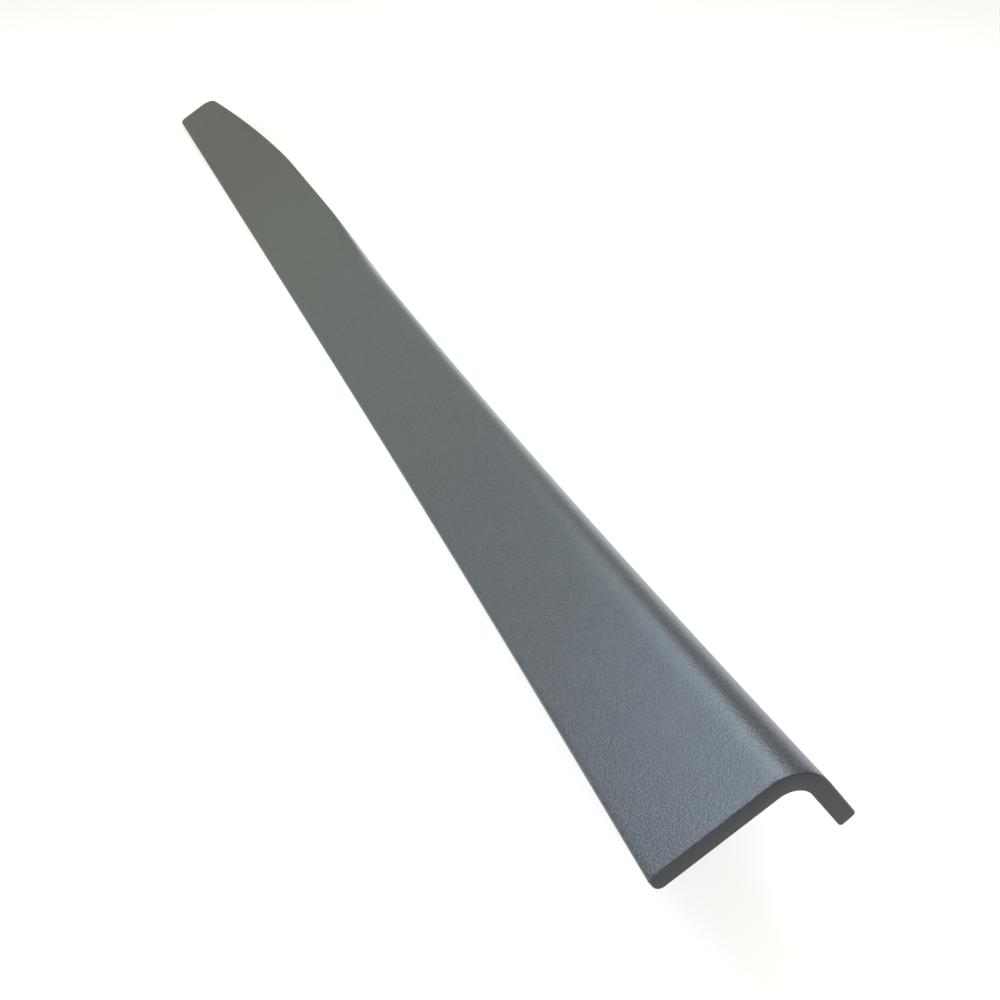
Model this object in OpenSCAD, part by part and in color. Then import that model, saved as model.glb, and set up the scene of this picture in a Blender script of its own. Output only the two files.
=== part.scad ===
// Sill moulding: one moulded strip of L section, a broad web with a flange turned down along
// its right edge. The near end is cut square and sweeps up in a long arc, the rest is straight.
// Towards the far end the flange runs out and the web tapers to a narrow rounded tip.
// It lies as on a floor, like a tent, on the web's left edge and on the foot of the flange.
// Y runs along the straight stretch to the tip, Z is up, and the origin is on the web's seat.

/* [Section] */
// Width from the web's left edge to the outside of the flange foot
width = 47.2; // [40:0.1:60]
// Depth from the web's face to the outer corner of the flange foot
flange_depth = 24.8; // [18:0.1:32]
// Wall thickness
wall = 5; // [3:0.1:6]
// Outer radius of the bend between web and flange
bend_r = 11.9; // [8:0.1:14]
// Angle by which the flange leans outwards from square
splay = 4.6; // [0:0.1:10]
// Radius of the web's upper left edge
top_edge_r = 0.8; // [0.4:0.1:1.4]
// Radius of the web's lower left edge
low_edge_r = 2.2; // [1:0.1:2.2]
// Radius of the two edges of the flange foot
foot_r = 1; // [0.5:0.1:1.4]

/* [Length] */
// Length along the web, from the square end to the tip
length = 785; // [730:1:900]
// Length of the stretch that sweeps up
arc_length = 330; // [200:1:340]
// Angle through which that stretch turns
arc_angle = 13.8; // [4:0.1:18]
// Angle between the plane of the sweep and the web's normal
arc_lean = 3.5; // [0:0.1:6]

/* [Flange run-out] */
// Distance from the square end at which the flange starts to run out
runout_from = 392; // [350:1:400]
// Distance from the square end at which the flange has run out
runout_to = 482; // [450:1:540]
// Width that the web gains on its right as the flange runs out
runout_spread = 1.1; // [0:0.1:3]
// Radius left on the web's right edge once the flange has run out
right_edge_r = 2; // [1:0.1:2.4]

/* [Tip] */
// Distance from the square end at which the web starts to taper
taper_from = 571; // [545:1:620]
// Length of the soft knee at the start of the taper
knee = 26; // [10:1:60]
// Width that the tapered edge would have at the very tip
tip_width = 32.1; // [24:0.1:36]
// Part of the taper's loss of width that comes from its outward bow
taper_bow = 8.6; // [0:0.1:10]
// Plan radius of the tip's left corner
tip_left_r = 5; // [1:0.1:8]
// Plan radius of the tip's right corner
tip_right_r = 10.3; // [2:0.1:14]

/* [Seat] */
// Distance from the square end to the middle of the seat under the web
seat_along = 430; // [410:1:520]
// Distance from the web's left edge to the middle of the seat
seat_across = 18; // [12:0.1:24]

/* [Surface steps] */
// Steps along the upward sweep
arc_steps = 16; // [8:1:24]
// Steps along the run-out of the flange
runout_steps = 14; // [8:1:24]
// Steps along the taper
taper_steps = 14; // [8:1:24]
// Steps round the tip's corners
tip_steps = 8; // [4:1:12]
// Steps round the bend
bend_steps = 12; // [6:1:20]
// Steps round an edge
edge_steps = 3; // [2:1:6]

/* [Hidden] */

bend = 90 - splay;
arc_r = arc_length / (arc_angle * PI / 180);
taper_length = length - taper_from;
tip_from = length - max(tip_left_r, tip_right_r);
flange_normal = [cos(splay), sin(splay)];
flange_down = [sin(splay), -cos(splay)];

// 0 before a, 1 after b, and an S-shaped rise between them
function ease(v, a, b) = let (u = min(1, max(0, (v - a) / (b - a)))) u * u * (3 - 2 * u);

// Points on an arc about c, both ends included
function arc(c, r, from, to, steps) =
    [for (i = [0:steps]) let (a = from + (to - from) * i / steps) c + r * [cos(a), sin(a)]];

// How far the web's right edge has come in at the distance s, by a straight taper with a knee and a bow
function knee_run(a) = a * a / (a + knee);
function taper(s) =
    let (a = max(0, s - taper_from))
    (width + runout_spread - tip_width - taper_bow) * knee_run(a) / knee_run(taper_length)
        + taper_bow * pow(a / taper_length, 2);

// How much a corner of the plan radius r takes off at the distance s
function corner(s, r) = let (a = max(0, s - (length - r))) r - sqrt(max(0, r * r - a * a));

function left_at(s) = corner(s, tip_left_r);
function runout(s) = ease(s, runout_from, runout_to);
function right_at(s) = width + runout_spread * runout(s) - taper(s) - corner(s, tip_right_r);
function depth_at(s) = flange_depth + (wall - flange_depth) * runout(s);
function outer_r_at(s) = bend_r + (right_edge_r - bend_r) * runout(s);

// Section at the distance s, as points [across, above the web's face], from the lower left edge round
function section(s) =
    let (
        left = left_at(s),
        foot = [right_at(s), -depth_at(s)],
        inner_foot = foot - wall * flange_normal,
        // inside length of the flange, from its foot up to the web's underside
        inside = (-wall - inner_foot[1]) / cos(splay),
        outer_r = outer_r_at(s),
        inner_r = min(max(outer_r - wall, 0.5), inside / 3),
        inner_foot_r = min(foot_r, inside / 3),
        top_corner = foot[0] + foot[1] * tan(splay),
        outer_c = [top_corner - outer_r * tan(bend / 2), -outer_r],
        inner_corner = inner_foot[0] - inside * sin(splay),
        inner_c = [inner_corner - inner_r * tan(bend / 2), -wall - inner_r],
        outer_foot_c = foot - foot_r * flange_normal - foot_r * flange_down,
        inner_foot_c = inner_foot + inner_foot_r * flange_normal - inner_foot_r * flange_down
    )
    concat(
        arc([left + low_edge_r, low_edge_r - wall], low_edge_r, 270, 180, 2 * edge_steps),
        arc([left + top_edge_r, -top_edge_r], top_edge_r, 180, 90, edge_steps),
        arc(outer_c, outer_r, 90, splay, bend_steps),
        arc(outer_foot_c, foot_r, splay, splay - 90, edge_steps),
        arc(inner_foot_c, inner_foot_r, splay - 90, splay - 180, edge_steps),
        arc(inner_c, inner_r, splay, 90, bend_steps)
    );

// A point of the section at the distance s, carried along the sweep and the straight stretch
function carried(s, p) =
    let (
        turn = max(0, arc_length - s) / arc_length * arc_angle,
        side = p[0] * cos(arc_lean) - p[1] * sin(arc_lean),
        out = p[0] * sin(arc_lean) + p[1] * cos(arc_lean) - arc_r,
        up = arc_r + out * cos(turn)
    )
    [
        side * cos(arc_lean) + up * sin(arc_lean),
        out * sin(turn) + max(0, s - arc_length),
        up * cos(arc_lean) - side * sin(arc_lean)
    ];

stations = concat(
    [for (i = [0:arc_steps]) arc_length * i / arc_steps],
    [for (i = [0:runout_steps]) runout_from + (runout_to - runout_from) * i / runout_steps],
    [for (i = [0:taper_steps]) taper_from + (tip_from - taper_from) * i / taper_steps],
    [for (i = [1:tip_steps]) tip_from + (length - tip_from) * sin(90 * i / tip_steps)]
);
rings = [for (s = stations) [for (p = section(s)) carried(s, p)]];
round = len(rings[0]);
last = len(rings) - 1;

// The floor line touches the web's lower left edge and the inner edge of the flange foot
left_c = [low_edge_r, low_edge_r - wall];
foot_c = [width, -flange_depth] - (wall - foot_r) * flange_normal - foot_r * flange_down;
floor_span = norm(foot_c - left_c);
floor_slope = atan2(left_c[1] - foot_c[1], foot_c[0] - left_c[0]) + asin((foot_r - low_edge_r) / floor_span);

seat = [seat_across, seat_along - arc_length, -wall];

module sill_moulding() {
    color([0.43, 0.46, 0.46])
    rotate([0, -floor_slope, 0])
    translate(-seat)
    polyhedron(
        points = [for (ring = rings) each ring],
        faces = concat(
            [[for (i = [0:round - 1]) i]],
            [for (k = [0:last - 1], i = [0:round - 1], half = [0, 1])
                let (a = k * round + i, b = k * round + (i + 1) % round)
                half == 0 ? [a, b + round, b] : [a, a + round, b + round]],
            [[for (i = [0:round - 1]) (last + 1) * round - 1 - i]]
        )
    );
}

sill_moulding();
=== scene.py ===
# Grained plastic sill moulding: one L-shaped strip that sweeps up at its square end,
# loses its flange half way along and narrows to a rounded tip.
import math
import bpy
import numpy as np
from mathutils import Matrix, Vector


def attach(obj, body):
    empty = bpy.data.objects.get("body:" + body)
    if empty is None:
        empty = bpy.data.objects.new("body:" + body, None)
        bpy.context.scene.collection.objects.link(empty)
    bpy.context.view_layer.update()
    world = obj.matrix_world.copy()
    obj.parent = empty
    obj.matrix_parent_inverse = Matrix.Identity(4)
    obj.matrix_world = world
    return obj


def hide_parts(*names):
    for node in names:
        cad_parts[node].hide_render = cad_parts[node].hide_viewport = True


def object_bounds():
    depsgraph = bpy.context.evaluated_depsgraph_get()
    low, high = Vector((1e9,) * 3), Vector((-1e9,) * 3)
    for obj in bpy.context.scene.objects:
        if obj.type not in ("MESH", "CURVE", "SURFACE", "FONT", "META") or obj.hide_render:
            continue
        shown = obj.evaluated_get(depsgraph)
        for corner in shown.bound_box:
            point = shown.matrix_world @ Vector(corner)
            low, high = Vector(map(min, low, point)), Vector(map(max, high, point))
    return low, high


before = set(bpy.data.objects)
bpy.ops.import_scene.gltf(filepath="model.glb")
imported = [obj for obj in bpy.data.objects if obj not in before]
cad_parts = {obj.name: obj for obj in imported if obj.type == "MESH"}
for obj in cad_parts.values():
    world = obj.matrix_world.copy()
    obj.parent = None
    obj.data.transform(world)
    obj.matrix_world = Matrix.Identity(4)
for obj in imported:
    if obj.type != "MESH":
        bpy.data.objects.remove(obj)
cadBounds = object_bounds()
mm = 0.001
print("stage 1: packed frame loaded")

# Sizes of the moulding in mm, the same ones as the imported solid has
moulding = dict(
    width=47.2, flangeDepth=24.8, wall=5.0, bendRadius=11.9, splay=4.6,
    topEdgeRadius=0.9, lowEdgeRadius=2.2, footRadius=1.0,
    length=785.0, arcLength=330.0, arcAngle=13.8, arcLean=3.5,
    runoutFrom=392.0, runoutTo=482.0, runoutSpread=1.1, rightEdgeRadius=2.0,
    taperFrom=571.0, knee=26.0, tipWidth=32.1, taperBow=8.6,
    tipLeftRadius=5.0, tipRightRadius=10.3,
    seatAlong=430.0, seatAcross=18.0,
    endSoftness=0.5,      # radius on the rim of the square end
    tipSoftness=0.9,      # radius on the rim of the tip
)
# How finely the surface is divided, as points on each stretch
grid = dict(side=3, edge=6, web=16, bend=20, flange=6, foot=3, sweep=120, run=170, tip=28, rim=5)


def easeBetween(value, start, end):
    # 0 before start, 1 after end, 3u^2 - 2u^3 between them
    u = np.clip((value - start) / (end - start), 0, 1)
    return u * u * (3 - 2 * u)


def cornerLoss(s, radius, length):
    # what a plan corner takes off: r - sqrt(r^2 - a^2), with a the distance into the corner
    into = np.clip(s - (length - radius), 0, radius)
    return radius - np.sqrt(np.maximum(radius ** 2 - into ** 2, 0))


def arcPoints(centre, radius, startDeg, endDeg, count):
    # centre + r (cos a, sin a) for equal steps of a, one row of points per station
    angles = np.radians(np.linspace(startDeg, endDeg, count))
    ray = np.stack([np.cos(angles), np.sin(angles)], -1)
    return centre[:, None, :] + radius[:, None, None] * ray


def linePoints(start, end, count):
    # points between two corners, both left out because the arcs hold them
    t = np.linspace(0, 1, count + 2)[1:-1, None]
    return start[:, None, :] * (1 - t) + end[:, None, :] * t


def sectionPaths(s, m, g):
    # Outer and inner path of the L section at each distance s, as (across, above the web's face).
    # Both run from the middle of the left edge to the middle of the flange foot.
    ones = np.ones_like(s)
    splay = math.radians(m["splay"])
    halfBend = (math.pi / 2 - splay) / 2
    normal = np.array([math.cos(splay), math.sin(splay)])
    down = np.array([math.sin(splay), -math.cos(splay)])
    runout = easeBetween(s, m["runoutFrom"], m["runoutTo"])
    into = np.clip(s - m["taperFrom"], 0, None)
    full = m["length"] - m["taperFrom"]
    kneeRun = into ** 2 / (into + m["knee"])
    kneeFull = full ** 2 / (full + m["knee"])
    fullWidth = m["width"] + m["runoutSpread"]
    taper = (fullWidth - m["tipWidth"] - m["taperBow"]) * kneeRun / kneeFull + m["taperBow"] * (into / full) ** 2
    left = cornerLoss(s, m["tipLeftRadius"], m["length"])
    right = m["width"] + m["runoutSpread"] * runout - taper - cornerLoss(s, m["tipRightRadius"], m["length"])
    depth = m["flangeDepth"] + (m["wall"] - m["flangeDepth"]) * runout
    outerR = m["bendRadius"] + (m["rightEdgeRadius"] - m["bendRadius"]) * runout
    foot = np.stack([right, -depth], -1)
    innerFoot = foot - m["wall"] * normal
    inside = (-m["wall"] - innerFoot[:, 1]) / math.cos(splay)
    innerR = np.minimum(np.maximum(outerR - m["wall"], 0.5), inside / 3)
    innerFootR = np.minimum(m["footRadius"], inside / 3)
    topCorner = right - depth * math.tan(splay)
    outerC = np.stack([topCorner - outerR * math.tan(halfBend), -outerR], -1)
    innerCorner = innerFoot[:, 0] - inside * math.sin(splay)
    innerC = np.stack([innerCorner - innerR * math.tan(halfBend), -m["wall"] - innerR], -1)
    footC = foot - m["footRadius"] * (normal + down)
    innerFootC = innerFoot + innerFootR[:, None] * (normal - down)
    topC = np.stack([left + m["topEdgeRadius"], -m["topEdgeRadius"] * ones], -1)
    lowC = np.stack([left + m["lowEdgeRadius"], (m["lowEdgeRadius"] - m["wall"]) * ones], -1)
    leftMid = (topC + [-m["topEdgeRadius"], 0] + lowC + [-m["lowEdgeRadius"], 0]) / 2
    footMid = (footC + m["footRadius"] * down + innerFootC + innerFootR[:, None] * down) / 2
    outerArcs = [
        arcPoints(topC, m["topEdgeRadius"] * ones, 180, 90, g["edge"]),
        arcPoints(outerC, outerR, 90, m["splay"], g["bend"]),
        arcPoints(footC, m["footRadius"] * ones, m["splay"], m["splay"] - 90, g["edge"])]
    innerArcs = [
        arcPoints(lowC, m["lowEdgeRadius"] * ones, 180, 270, g["edge"]),
        arcPoints(innerC, innerR, 90, m["splay"], g["bend"]),
        arcPoints(innerFootC, innerFootR, m["splay"] - 180, m["splay"] - 90, g["edge"])]

    def joined(arcs):
        first, middle, last = arcs
        return np.concatenate([
            leftMid[:, None, :],
            linePoints(leftMid, first[:, 0], g["side"]), first,
            linePoints(first[:, -1], middle[:, 0], g["web"]), middle,
            linePoints(middle[:, -1], last[:, 0], g["flange"]), last,
            linePoints(last[:, -1], footMid, g["foot"]),
            footMid[:, None, :]], 1)

    return joined(outerArcs), joined(innerArcs)


def insetRing(ring, amount):
    # every point moves in by amount along the mean normal of its two edges
    ahead = np.roll(ring, -1, 1) - ring
    ahead /= np.maximum(np.linalg.norm(ahead, axis=-1, keepdims=True), 1e-9)
    tangent = ahead + np.roll(ahead, 1, 1)
    tangent /= np.maximum(np.linalg.norm(tangent, axis=-1, keepdims=True), 1e-9)
    inward = np.stack([tangent[..., 1], -tangent[..., 0]], -1)
    return ring + inward * amount[:, None, None]


def carried(s, points, m):
    # A section point goes round the sweep's axis by the angle left at s, then along the straight stretch
    radius = m["arcLength"] / math.radians(m["arcAngle"])
    lean = math.radians(m["arcLean"])
    turn = np.radians(np.clip(m["arcLength"] - s, 0, None) / m["arcLength"] * m["arcAngle"])[:, None]
    side = points[..., 0] * math.cos(lean) - points[..., 1] * math.sin(lean)
    out = points[..., 0] * math.sin(lean) + points[..., 1] * math.cos(lean) - radius
    up = radius + out * np.cos(turn)
    x = side * math.cos(lean) + up * math.sin(lean)
    y = out * np.sin(turn) + np.clip(s - m["arcLength"], 0, None)[:, None]
    z = up * math.cos(lean) - side * math.sin(lean)
    return np.stack([x, y, z], -1)


def laidDown(points, m):
    # From the web's own plane to the floor: the seat comes to the origin, then the section turns about Y
    splay = math.radians(m["splay"])
    normal = np.array([math.cos(splay), math.sin(splay)])
    down = np.array([math.sin(splay), -math.cos(splay)])
    leftC = np.array([m["lowEdgeRadius"], m["lowEdgeRadius"] - m["wall"]])
    footC = np.array([m["width"], -m["flangeDepth"]]) - (m["wall"] - m["footRadius"]) * normal - m["footRadius"] * down
    span = footC - leftC
    slope = math.atan2(-span[1], span[0]) + math.asin((m["footRadius"] - m["lowEdgeRadius"]) / np.hypot(*span))
    p = points - np.array([m["seatAcross"], m["seatAlong"] - m["arcLength"], -m["wall"]])
    x = p[..., 0] * math.cos(slope) - p[..., 2] * math.sin(slope)
    z = p[..., 0] * math.sin(slope) + p[..., 2] * math.cos(slope)
    return np.stack([x, p[..., 1], z], -1)


def mouldingStations(m, g):
    # Distances along the web, closer together at the two rims and round the tip's corners
    quarter = np.radians(np.linspace(0, 90, g["rim"]))
    nearRim = m["endSoftness"] * (1 - np.cos(quarter))
    corner = max(m["tipLeftRadius"], m["tipRightRadius"])
    sweep = np.linspace(m["endSoftness"], m["arcLength"], g["sweep"])[1:]
    run = np.linspace(m["arcLength"], m["length"] - corner, g["run"])[1:]
    tip = m["length"] - corner + corner * np.sin(np.radians(np.linspace(0, 90, g["tip"])))[1:]
    return np.concatenate([nearRim, sweep, run, tip])


def makeMoulding(m, g):
    s = mouldingStations(m, g)
    outer, inner = sectionPaths(s, m, g)
    ring = np.concatenate([outer, inner[:, -2:0:-1]], 1)
    nearLoss = m["endSoftness"] - np.sqrt(np.maximum(m["endSoftness"] ** 2 - np.clip(m["endSoftness"] - s, 0, None) ** 2, 0))
    intoTip = np.clip(s - (m["length"] - m["tipSoftness"]), 0, None)
    tipLoss = m["tipSoftness"] - np.sqrt(np.maximum(m["tipSoftness"] ** 2 - intoTip ** 2, 0))
    ring = insetRing(ring, nearLoss + tipLoss)
    points = laidDown(carried(s, ring, m), m) * mm
    stations, around = ring.shape[:2]
    steps = outer.shape[1]
    # side faces: one quad between neighbours along and around
    k, i = np.meshgrid(np.arange(stations - 1), np.arange(around), indexing="ij")
    j = (i + 1) % around
    sides = np.stack([k * around + i, k * around + j, (k + 1) * around + j, (k + 1) * around + i], -1).reshape(-1, 4)
    # end faces: rungs between the outer and the inner path of the same ring
    rung = np.arange(steps)
    back = (around - rung) % around
    caps = np.stack([rung[:-1], back[:-1], back[1:], rung[1:]], -1)
    nearCap = caps
    farCap = caps[:, ::-1] + (stations - 1) * around
    faces = [tuple(dict.fromkeys(f)) for f in np.concatenate([sides, nearCap, farCap]).tolist()]
    mesh = bpy.data.meshes.new("sill_moulding_skin")
    mesh.from_pydata(points.reshape(-1, 3).tolist(), [], faces)
    mesh.update()
    # the surface's own map in metres: around the section from the left edge, and along the strip;
    # the end faces take their own across and up
    edgeLength = np.linalg.norm(np.diff(ring[stations // 4], axis=0, append=ring[stations // 4, :1]), axis=-1)
    girth = np.concatenate([[0], np.cumsum(edgeLength)])
    k, i = k.ravel(), i.ravel()
    sideMap = np.stack([girth[[i, i + 1, i + 1, i]], s[[k, k, k + 1, k + 1]]], -1).transpose(1, 0, 2)
    cornerOf = np.empty(len(mesh.loops), dtype=np.int32)
    mesh.loops.foreach_get("vertex_index", cornerOf)
    endMap = ring.reshape(-1, 2)[cornerOf[4 * len(sides):]]
    uvMap = mesh.uv_layers.new(name="surface")
    uvMap.data.foreach_set("uv", np.concatenate([sideMap.reshape(-1, 2), endMap]).ravel() * mm)
    # the tool is grained only on the face that shows, so the grain stops at the middle of each edge
    # the faces without grain are also the ones that the material darkens with painted shade
    grained = np.zeros(len(faces))
    grained[:len(sides)] = i < steps - 1
    mesh.attributes.new("grained", "FLOAT", "FACE").data.foreach_set("value", grained)
    mesh.shade_smooth()
    piece = bpy.data.objects.new("sill_moulding_skin", mesh)
    bpy.context.collection.objects.link(piece)
    return piece


# Materials
def srgb(hexColour):
    # sRGB hex to the linear colour that the shader wants
    channels = [int(hexColour[i:i + 2], 16) / 255 for i in (1, 3, 5)]
    linear = [c / 12.92 if c <= 0.04045 else ((c + 0.055) / 1.055) ** 2.4 for c in channels]
    return (*linear, 1)


def addNode(material, kind, settings=None, inputs=None):
    # a node with its settings, and with each input either a value or the socket that feeds it
    tree = material.node_tree
    node = tree.nodes.new(kind)
    for name, value in (settings or {}).items():
        setattr(node, name, value)
    for name, value in (inputs or {}).items():
        if isinstance(value, bpy.types.NodeSocket):
            tree.links.new(value, node.inputs[name])
        else:
            node.inputs[name].default_value = value
    return node


def newMaterial(name):
    material = bpy.data.materials.new(name)
    material.use_nodes = True
    material.node_tree.nodes.clear()
    return material


def rampOf(material, source, stops):
    ramp = addNode(material, "ShaderNodeValToRGB", inputs={"Fac": source})
    elements = ramp.color_ramp.elements
    while len(elements) < len(stops):
        elements.new(0.5)
    for element, (position, colour) in zip(elements, stops):
        element.position = position
        element.color = colour
    return ramp


grainedPlastic = dict(
    # nearColour turns into farColour along the strip; the drift between them is a painted tint of the light, not the
    # plastic's own colour
    nearColour="#55575c", farColour="#5a6156", paleColour="#5e6260",
    smoothSidePaintedShade=0.3,        # painted shade: the share of its colour kept on the smooth hidden side and the cut end, against the grained face
    grainSpacing=0.45,      # mm from wrinkle to wrinkle of the leather grain
    grainStretch=1.35,      # length of a wrinkle over its spacing
    grainTurn=28.0,         # degrees between the wrinkles and the strip's own crosswise direction
    grainWander=0.4,        # mm by which the wrinkles stray from straight
    grainBlend=0.3,         # how far neighbouring pebbles run together, from 0 to 1
    grainHeight=0.06,       # mm
    pitPaintedShade=0.64,          # painted shade in the pits: how much of its colour a pit between the pebbles keeps
    mottleSize=14.0,        # mm
    roughness=0.29, ior=1.49)





def grainedPolypropylene(p):
    # Injection-moulded polypropylene from a leather-grained tool: satin, with fine pebbles
    # that break up every highlight and a faint mottle from the flow of the melt
    material = newMaterial("grained_polypropylene")
    place = addNode(material, "ShaderNodeTexCoord")
    surface = addNode(material, "ShaderNodeUVMap", {"uv_map": "surface"})
    stray = addNode(material, "ShaderNodeTexNoise", None, {
        "Vector": surface.outputs["UV"], "Scale": 1000 / (6 * p["grainSpacing"]), "Detail": 1})
    strayed = addNode(material, "ShaderNodeVectorMath", {"operation": "MULTIPLY_ADD"}, {
        0: stray.outputs["Color"], 1: (p["grainWander"] * mm,) * 3, 2: surface.outputs["UV"]})
    turned = addNode(material, "ShaderNodeMapping", {"vector_type": "POINT"}, {
        "Vector": strayed.outputs["Vector"], "Rotation": (0, 0, -math.radians(p["grainTurn"])),
        "Scale": (1, 1, 1)})
    squeezed = addNode(material, "ShaderNodeVectorMath", {"operation": "MULTIPLY"}, {
        0: turned.outputs["Vector"], 1: (1 / p["grainStretch"], 1, 0)})
    grain = addNode(material, "ShaderNodeTexVoronoi", {"feature": "SMOOTH_F1"}, {
        "Vector": squeezed.outputs["Vector"], "Scale": 1000 / p["grainSpacing"],
        "Smoothness": p["grainBlend"], "Randomness": 0.9})
    shown = addNode(material, "ShaderNodeAttribute", {"attribute_name": "grained"})
    mottle = addNode(material, "ShaderNodeTexNoise", None, {
        "Vector": place.outputs["Object"], "Scale": 1000 / p["mottleSize"], "Detail": 3, "Roughness": 0.5})
    split = addNode(material, "ShaderNodeSeparateXYZ", None, {"Vector": place.outputs["Object"]})
    # the colour drifts from the near colour to the far one along Y: a painted tint of the light, bluish at the square
    # end, lighter and greenish towards the tip
    alongY = addNode(material, "ShaderNodeMapRange", None, {
        "Value": split.outputs["Y"], "From Min": -0.42, "From Max": 0.02})
    colourWithPaintedTint = rampOf(material, alongY.outputs["Result"], [(0, srgb(p["nearColour"])), (1, srgb(p["farColour"]))])
    cloud = rampOf(material, mottle.outputs["Fac"], [(0.35, (0, 0, 0, 1)), (0.75, (0.35, 0.35, 0.35, 1))])
    colour = addNode(material, "ShaderNodeMix", {"data_type": "RGBA"}, {
        "Factor": cloud.outputs["Color"], "A": colourWithPaintedTint.outputs["Color"], "B": srgb(p["paleColour"])})
    # painted shade: the pits between the pebbles are darkened, and the faces without grain keep only a fixed share of
    # the colour
    depth = addNode(material, "ShaderNodeMapRange", None, {
        "Value": grain.outputs["Distance"], "From Min": 0.1, "From Max": 0.6, "To Min": 1.0, "To Max": p["pitPaintedShade"]})
    shade = addNode(material, "ShaderNodeMix", {"data_type": "FLOAT"}, {
        "Factor": shown.outputs["Fac"], "A": p["smoothSidePaintedShade"], "B": depth.outputs["Result"]})
    colourWithPaintedShade = addNode(material, "ShaderNodeVectorMath", {"operation": "SCALE"}, {
        0: colour.outputs["Result"], "Scale": shade.outputs["Result"]})
    bump = addNode(material, "ShaderNodeBump", {"invert": True}, {
        "Height": grain.outputs["Distance"], "Distance": p["grainHeight"] * mm, "Strength": shown.outputs["Fac"]})
    shader = addNode(material, "ShaderNodeBsdfPrincipled", None, {
        "Base Color": colourWithPaintedShade.outputs["Vector"], "Roughness": p["roughness"], "IOR": p["ior"],
        "Normal": bump.outputs["Normal"]})
    addNode(material, "ShaderNodeOutputMaterial", None, {"Surface": shader.outputs["BSDF"]})
    return material


skin = makeMoulding(moulding, grid)
skin.data.materials.append(grainedPolypropylene(grainedPlastic))
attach(skin, "root")
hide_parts("sill_moulding")
print("stage 2: moulding made,", len(skin.data.polygons), "faces")

# Stage: floor, world, lamps and camera
studio = dict(
    floorColour="#f2f2f2", floorLift=0.46, floorSize=20.0,
    worldColour="#fff8f2", worldStrength=0.47)
# lamps: place and aim in metres, size as width and height in metres, power in watts, colour
lamps = dict(
    leftFill=dict(place=(-1.18, -0.15, 0.58), aim=(0, -0.15, 0.03), size=(0.6, 0.6), power=10.5, colour="#f8fffa"),
    nearStrip=dict(place=(0.0, -0.04, 0.375), aim=(0, -0.41, 0.04), size=(0.5, 0.2), power=2.1,
                   colour="#d2e8ff"),
    farFill=dict(place=(0.3, 0.2, 0.53), aim=(0, 0.2, 0.01), size=(0.4, 0.4), power=0.85, colour="#f4ffe6"),
)
cameraSetup = dict(place=(-0.10336, -0.53188, 0.23555), turn=(52.611, 2.9775, -23.5729), lens=36, sensor=36)


def backgroundRays(owner):
    # 1 for the rays that show the background as it is: camera, glossy and transmission rays
    path = addNode(owner, "ShaderNodeLightPath")
    mirrored = addNode(owner, "ShaderNodeMath", {"operation": "MAXIMUM"}, {
        0: path.outputs["Is Camera Ray"], 1: path.outputs["Is Glossy Ray"]})
    seen = addNode(owner, "ShaderNodeMath", {"operation": "MAXIMUM"}, {
        0: mirrored.outputs["Value"], 1: path.outputs["Is Transmission Ray"]})
    return seen.outputs["Value"]


def makeFloor(p):
    # pale diffuse floor, lifted a little where it is seen so that it reads as white and keeps the shadow
    half = p["floorSize"] / 2
    z = cadBounds[0][2]
    mesh = bpy.data.meshes.new("floor")
    mesh.from_pydata([(-half, -half, z), (half, -half, z), (half, half, z), (-half, half, z)], [], [(0, 1, 2, 3)])
    floor = bpy.data.objects.new("floor", mesh)
    bpy.context.collection.objects.link(floor)
    material = newMaterial("white_floor")
    diffuse = addNode(material, "ShaderNodeBsdfDiffuse", None, {"Color": srgb(p["floorColour"])})
    lift = addNode(material, "ShaderNodeMath", {"operation": "MULTIPLY"}, {
        0: backgroundRays(material), 1: p["floorLift"]})
    glow = addNode(material, "ShaderNodeEmission", None, {"Color": (1, 1, 1, 1), "Strength": lift.outputs["Value"]})
    both = addNode(material, "ShaderNodeAddShader", None, {0: diffuse.outputs["BSDF"], 1: glow.outputs["Emission"]})
    addNode(material, "ShaderNodeOutputMaterial", None, {"Surface": both.outputs["Shader"]})
    mesh.materials.append(material)


def makeWorld(p):
    # plain light from all round, the same for every ray
    world = bpy.data.worlds.new("studio")
    bpy.context.scene.world = world
    world.use_nodes = True
    world.node_tree.nodes.clear()
    allRound = addNode(world, "ShaderNodeBackground", None, {
        "Color": srgb(p["worldColour"]), "Strength": p["worldStrength"]})
    addNode(world, "ShaderNodeOutputWorld", None, {"Surface": allRound.outputs["Background"]})


def makeLamp(name, p):
    data = bpy.data.lights.new(name, "AREA")
    data.shape = "RECTANGLE"
    data.size, data.size_y = p["size"]
    data.energy = p["power"]
    data.color = srgb(p["colour"])[:3]
    lamp = bpy.data.objects.new(name, data)
    bpy.context.collection.objects.link(lamp)
    lamp.location = p["place"]
    away = lamp.location - type(lamp.location)(p["aim"])
    lamp.rotation_euler = away.to_track_quat("Z", "Y").to_euler()
    lamp.visible_camera = False


def makeCamera(p):
    data = bpy.data.cameras.new("photo_view")
    data.lens = p["lens"]
    data.sensor_width = p["sensor"]
    data.clip_start = 0.01
    camera = bpy.data.objects.new("photo_view", data)
    bpy.context.collection.objects.link(camera)
    camera.location = p["place"]
    camera.rotation_euler = [math.radians(a) for a in p["turn"]]
    bpy.context.scene.camera = camera


makeFloor(studio)
makeWorld(studio)
for lampName, lampValues in lamps.items():
    makeLamp(lampName, lampValues)
makeCamera(cameraSetup)
bpy.context.scene.view_settings.view_transform = "Standard"
print("stage 3: floor, world, lamps and camera set")
